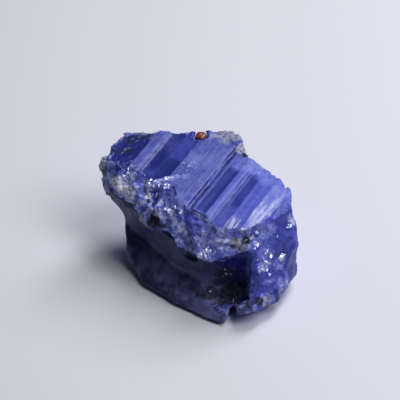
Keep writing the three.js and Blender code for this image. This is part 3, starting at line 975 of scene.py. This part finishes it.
def frost_on_walls(n, skin, pattern, placed):
    """Frost on the walls sits in crumbs and on ridges, and is thinned in gullies as painted shade."""
    patchy = n.plus(0.45, n.times(n.levels(pattern.mottle, 0.36, 0.62), 1.1))
    crumbs = n.times(n.plus(0.7, n.times(pattern.crumbs.chance[0], 0.6)), pattern.chips.chance[0])
    crumbs = n.plus(0.45, n.times(crumbs, 1.1))
    crumbs = n.times(crumbs, n.plus(0.45, n.times(pattern.planes.chance[1], 1.1)))
    frost = n.times(placed, n.times(patchy, crumbs))
    chip_edges = n.times(n.levels(pattern.chip_borders, 0.060, 0.0), skin.crumbly)
    frost = n.more(frost, n.times(chip_edges, n.levels(pattern.mottle, 0.44, 0.62)), 0.12)
    frost = n.more(frost, skin.ridge, n.blend(skin.crumbly, 0.08, 0.32))
    # Painted shade: less frost, so a darker colour, in the gullies.
    frost = n.times(frost, n.rest_of(n.times(skin.gully, 0.35)))
    return n.times(frost, n.blend(skin.hollow_wall, 1.0, 0.35))


def stone_blue(n, skin, pattern, placed):
    """The clear stone's own blue, with painted shade in the dark hollow and on the window face, and the
    smudges.
    """
    top = skin.top_face
    brightness = n.more(placed, n.off_middle(pattern.clouds), n.blend(top, 0.9, 0.35))
    brightness = n.more(brightness, n.off_middle(pattern.mottle), 0.4)
    brightness = n.more(brightness, n.off_middle(pattern.planes.chance[0]), n.blend(top, 1.0, 0.0))
    brightness = n.more(brightness, n.off_middle(pattern.chips.chance[1]), n.blend(top, 0.5, 0.0))
    blue = n.mix(brightness, DEEP_BLUE, BRIGHT_BLUE)
    cloudy = n.levels(n.plus(n.times(pattern.clouds, 0.7), n.times(pattern.mottle, 0.3)), 0.40, 0.62)
    # Painted shade under the rim: the hollow is darker high up and paler near the floor.
    less_shade_share = n.plus(0.18, n.times(skin.pale_hollow, 0.82))
    hollow = n.mix(n.times(cloudy, less_shade_share), HOLLOW_SHADE_DARK, HOLLOW_PALE_LESS_SHADE)
    # The window face is painted near black, partly as painted shade under the rim.
    window = n.mix(n.times(cloudy, 0.08), WINDOW_BLUE_AND_SHADE, BRIGHT_BLUE)
    blue = n.mix(skin.hollow_wall, blue, n.mix(skin.window, hollow, window))
    return n.mix(skin.smudged, blue, SMUDGE)


def with_minerals(n, skin, pattern, colour):
    """The colour with calcite, grey crust and graphite over it."""
    calcite = n.mix(n.levels(pattern.grit, 0.38, 0.58), CALCITE_SHADE, CALCITE_WHITE)
    crust = n.mix(n.levels(pattern.grit, 0.38, 0.52), CRUST_DARK, CRUST_GREY)
    graphite = n.mix(n.levels(pattern.flecks, 0.58, 0.70), GRAPHITE_AND_SHADE_BLACK, GRAPHITE_TAN)
    colour = n.mix(skin.calcite, colour, calcite)
    colour = n.mix(skin.grey_crust, colour, crust)
    return n.mix(skin.graphite, colour, graphite)


def painted_and_mirroring_glints(n, skin, pattern, walls):
    """The glints, painted white as highlights and made to mirror the lights: the placed ones, and these with
    the scattered ones.
    """
    placed = n.levels(n.minus(skin.flashing, pattern.crumbs.chance[1]), 0.0, 0.10)
    small = n.plus(pattern.glints.chance[1], n.times(skin.sparkling, 0.55))
    small = n.levels(n.minus(small, n.times(pattern.glints.from_seed, 0.5)), 0.90, 1.14)
    large = n.plus(n.times(pattern.chips.chance[2], 0.6), n.times(skin.sparkling, 0.55))
    large = n.levels(n.minus(large, n.times(pattern.chips.from_seed, 0.5)), 0.52, 0.76)
    large = n.times(large, n.plus(0.7, n.times(pattern.crumbs.chance[2], 0.3)))
    return placed, n.larger(placed, n.larger(small, n.times(large, walls)))


def broken_facing(n, skin, pattern, walls, frost, placed_glint, glint):
    """Which way the surface faces: planes, chips, crumbs and lines as bumps, and the mirroring facets."""
    dull = n.rest_of(glint)
    worn = n.times(dull, n.rest_of(skin.hollow_wall))
    planes = n.times(n.facets(pattern.planes), n.times(walls, worn))
    chips = n.times(n.facets(pattern.chips), n.times(skin.crumbly, dull))
    grainy = n.plus(n.times(frost, n.times(walls, 1.2)), skin.sparkling, clamp=True)
    crumbs = n.times(n.facets(pattern.crumbs), n.times(grainy, dull))
    facing = n.bump(planes, MM, 0.5)
    facing = n.bump(chips, MM, 0.5, after=facing)
    facing = n.bump(crumbs, MM, 0.7, after=facing)
    facing = n.bump(n.times(pattern.lines, skin.top_face), 0.04 * MM, 0.35, after=facing)
    lean = n.vector("MULTIPLY", pattern.glints.lean, n.blend(placed_glint, STRAY_SPREAD, PLACED_SPREAD))
    mirror = n.vector("NORMALIZE", n.vector("ADD", lean, MIRROR_FACING))
    return n.mix(glint, facing, mirror)


def tanzanite_material():
    n = Nodes("tanzanite")
    where = n.millimetres()
    across = place_across(n, where)
    pattern = stone_patterns(n, where)
    skin = SimpleNamespace(**{name: n.attribute(name) for name in QUALITIES})
    walls = n.rest_of(skin.top_face)
    minerals = n.larger(n.larger(skin.calcite, skin.graphite), skin.grey_crust)
    band_frost, band_bright = band_qualities(n, across)
    placed_frost = n.blend(skin.banded, skin.frost, band_frost)
    placed_bright = n.blend(skin.banded, skin.brightness, band_bright)
    top_frost = frost_on_top(n, skin, pattern, placed_frost, across)
    frost = n.blend(skin.top_face, frost_on_walls(n, skin, pattern, placed_frost), top_frost)
    placed_glint, glint = painted_and_mirroring_glints(n, skin, pattern, walls)

    frost_colour = n.mix(n.levels(frost, 0.35, 0.75), FROST, FROST_WHITE)
    colour = n.mix(frost, stone_blue(n, skin, pattern, placed_bright), frost_colour)
    # Painted highlights: the glints are painted white into the colour, besides mirroring the lights.
    colour = n.mix(glint, with_minerals(n, skin, pattern, colour), SPARKLE_WHITE)
    roughness = n.blend(n.levels(frost, 0.0, 0.5), n.blend(skin.hollow_wall, 0.22, 0.38), 0.50)
    roughness = n.blend(glint, n.blend(minerals, roughness, 0.60), 0.30)
    clear = n.times(n.levels(frost, 0.15, 0.0), n.rest_of(minerals))
    facing = broken_facing(n, skin, pattern, walls, frost, placed_glint, glint)

    n.join(colour, n.shader.inputs["Base Color"])
    n.join(roughness, n.shader.inputs["Roughness"])
    n.join(n.times(glint, 0.5), n.shader.inputs["Metallic"])
    n.join(n.times(clear, CLEAREST), n.shader.inputs["Transmission Weight"])
    n.join(facing, n.shader.inputs["Normal"])
    n.shader.inputs["IOR"].default_value = TANZANITE_IOR
    n.shader.inputs["Specular IOR Level"].default_value = 0.12
    n.shader.inputs["Specular Tint"].default_value = SHEEN_BLUE
    absorption = n.add("ShaderNodeVolumeAbsorption")
    absorption.inputs["Color"].default_value = INNER_BLUE
    absorption.inputs["Density"].default_value = DARKENING
    n.join(absorption.outputs[0], n.output.inputs["Volume"])
    return n.material


def garnet_material():
    n = Nodes("garnet")
    where = n.millimetres()
    colour = n.mix(n.levels(n.noise(where, 0.9, 4), 0.4, 0.62), GARNET_DARK, GARNET_RED)
    n.join(colour, n.shader.inputs["Base Color"])
    n.join(n.blend(n.levels(n.noise(where, 1.5, 3), 0.3, 0.7), 0.25, 0.45), n.shader.inputs["Roughness"])
    n.join(n.bump(n.noise(where, 2.0, 3), 0.08 * MM, 0.5), n.shader.inputs["Normal"])
    n.shader.inputs["IOR"].default_value = GARNET_IOR
    return n.material


def floor_material():
    n = Nodes("pale floor")
    n.shader.inputs["Base Color"].default_value = FLOOR_WHITE
    n.shader.inputs["Roughness"].default_value = 0.8
    n.shader.inputs["Specular IOR Level"].default_value = 0.2
    return n.material


# ---------------------------------------------------------------- floor, lights and camera

CAMERA_HEIGHT_ANGLE = math.radians(40)
CAMERA_DISTANCE = 0.340
CAMERA_LENS = 167.0
SENSOR_WIDTH = 36.0
FRAME_SHIFT = (0.005, 0.070)  # the stone stands a little below the middle of the frame
STONE_MIDDLE = Vector((0.0, 0.0, 0.010))
FLOOR_HALF = 2.5


def aimed(name, data, at):
    """Puts a camera or a light in its place, turned to the stone."""
    holder = bpy.data.objects.new(name, data)
    bpy.context.scene.collection.objects.link(holder)
    holder.location = at
    holder.rotation_mode = "QUATERNION"
    holder.rotation_quaternion = (STONE_MIDDLE - Vector(at)).to_track_quat("-Z", "Y")
    return holder


def camera():
    data = bpy.data.cameras.new("camera")
    data.lens = CAMERA_LENS
    data.sensor_width = SENSOR_WIDTH
    data.shift_x, data.shift_y = FRAME_SHIFT
    data.clip_start, data.clip_end = 0.01, 10
    back = Vector((0, -math.cos(CAMERA_HEIGHT_ANGLE), math.sin(CAMERA_HEIGHT_ANGLE)))
    bpy.context.scene.camera = aimed("camera", data, STONE_MIDDLE + back * CAMERA_DISTANCE)


def soft_light(name, at, size, power):
    data = bpy.data.lights.new(name, "AREA")
    data.shape = "RECTANGLE"
    data.size, data.size_y = size
    data.energy = power
    aimed(name, data, at)


def room_light():
    world = bpy.data.worlds.new("room")
    world.use_nodes = True
    background = world.node_tree.nodes["Background"]
    background.inputs["Color"].default_value = ROOM_WHITE
    background.inputs["Strength"].default_value = 0.03
    bpy.context.scene.world = world


def floor():
    form = bmesh.new()
    bmesh.ops.create_grid(form, x_segments=1, y_segments=1, size=FLOOR_HALF)
    piece = put_in_scene("floor", form)
    piece.data.materials.append(floor_material())


camera()
crystal()
garnet()
floor()
soft_light("softbox behind", at=(0.16, 0.20, 0.37), size=(0.12, 0.36), power=1.25)
soft_light("softbox in front", at=(0.18, -0.10, 0.35), size=(0.15, 0.28), power=0.76)
room_light()
bpy.context.scene.view_settings.view_transform = "Standard"
